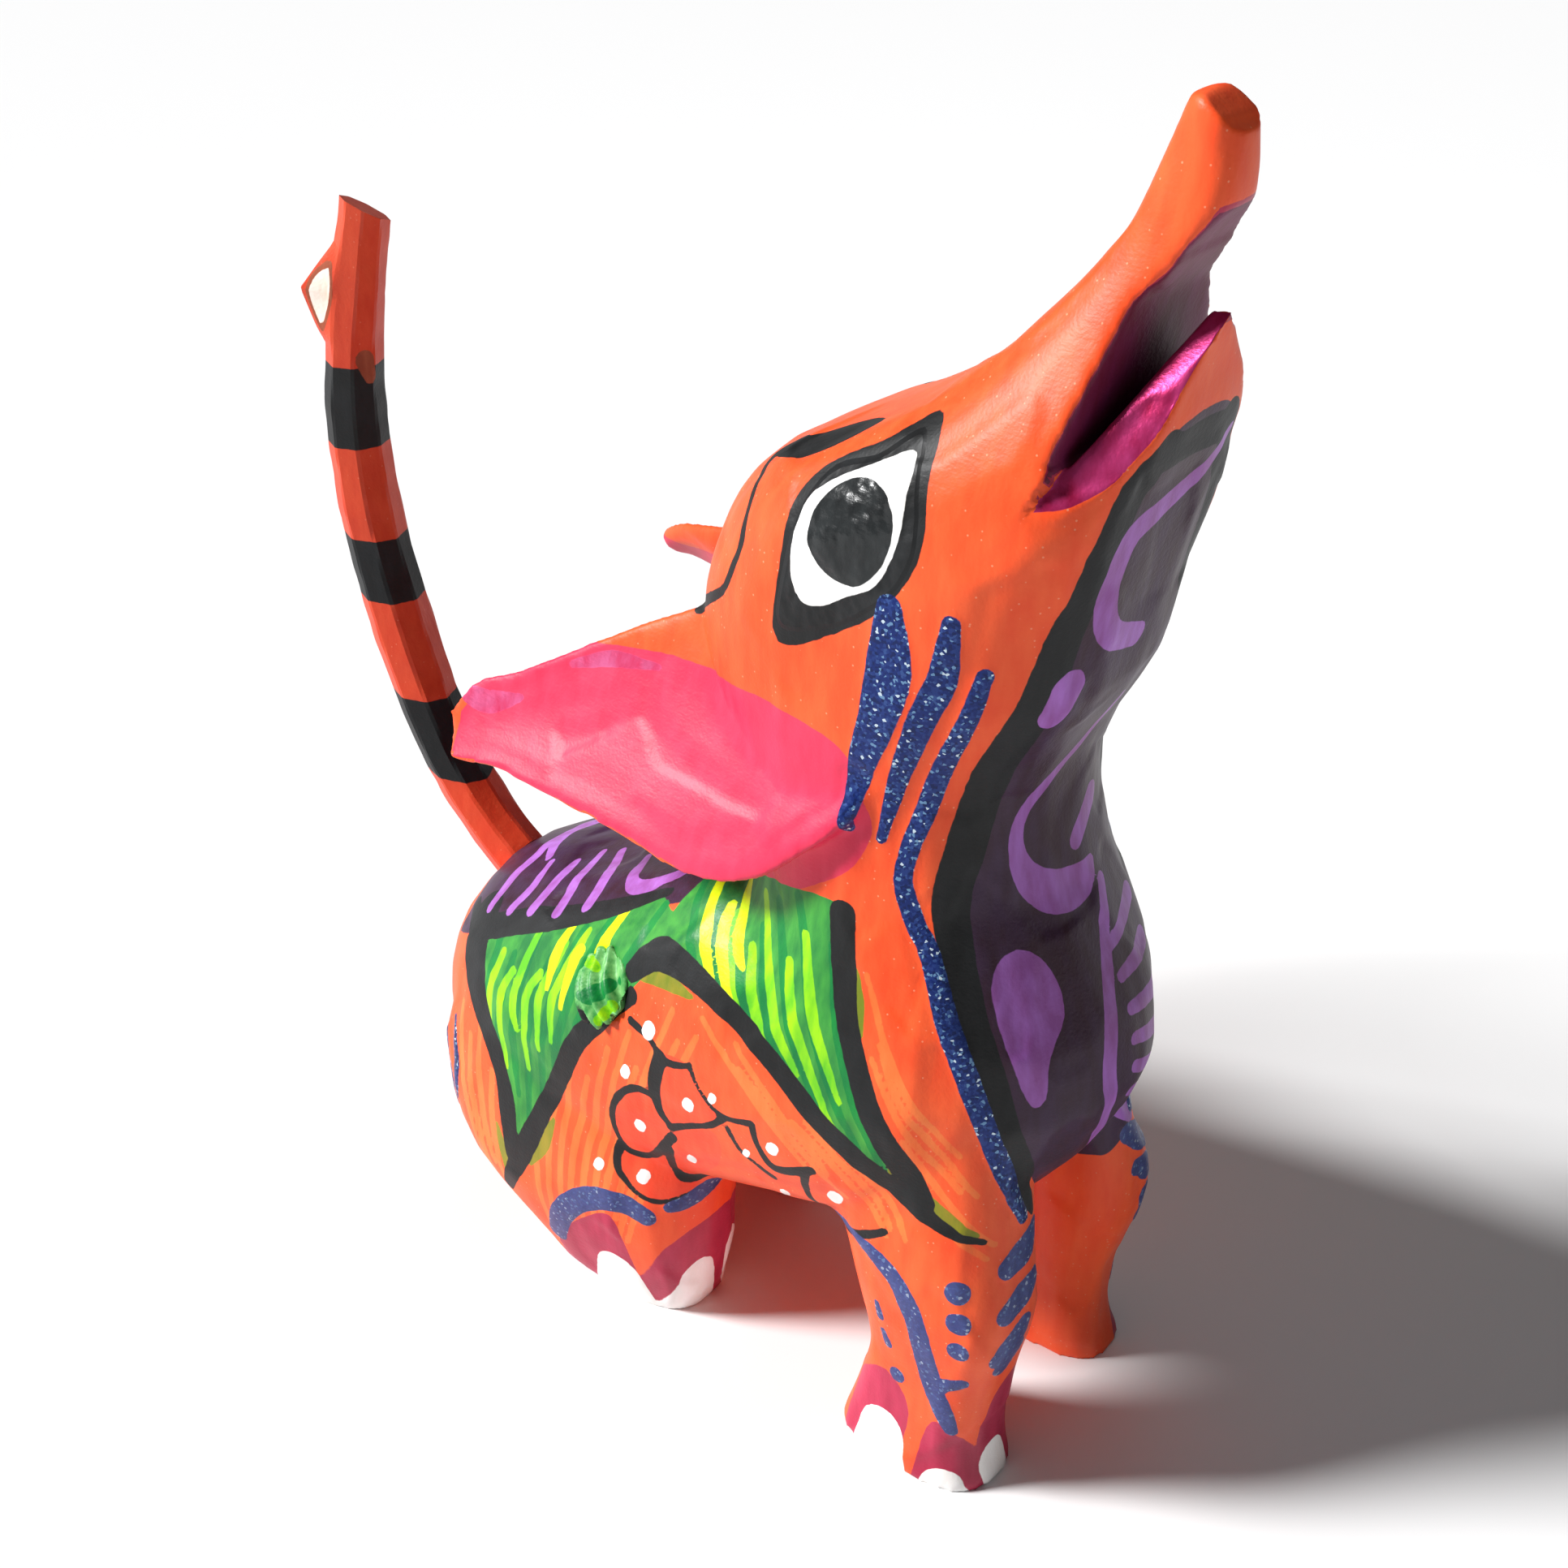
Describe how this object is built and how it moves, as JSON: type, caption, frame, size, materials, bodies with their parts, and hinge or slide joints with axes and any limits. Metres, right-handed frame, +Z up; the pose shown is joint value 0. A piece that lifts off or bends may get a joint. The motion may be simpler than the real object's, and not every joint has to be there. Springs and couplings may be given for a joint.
{
  "type": "alebrije figure",
  "caption": "Small carved and painted wooden coyote howling with its muzzle raised, ears swept back, and a separate curved tail pegged into its rump.",
  "frame": {"origin": "on the ground below the middle of the whole figure's bounding box, with the four soles on z = 0", "axes": "+X the way the coyote faces, +Y to its left, +Z up"},
  "size_m": [0.0788, 0.0302, 0.1],
  "materials": {
    "painted_body": "satin acrylic paint on carved copal wood",
    "painted_tail": "satin acrylic paint on a whittled copal stick, with black bands",
    "peg_wood": "bare round dowel",
    "painted_filler": "rough wood filler under green acrylic paint"
  },
  "bodies": {
    "figure": {"carved_body": "painted_body", "knot_filler": "painted_filler"},
    "peg": {"tail_peg": "peg_wood"},
    "tail": {"tail": "painted_tail"}
  },
  "joints": [
    {"name": "tail_pull", "type": "slide", "parent": "figure", "child": "peg", "axis": [-0.824, 0, 0.5665], "range_m": [0, 0.012]},
    {"name": "tail_twist", "type": "hinge", "parent": "peg", "child": "tail", "pos_m": [-0.02159, 0, 0.0263], "axis": [-0.824, 0, 0.5665], "continuous": true}
  ]
}
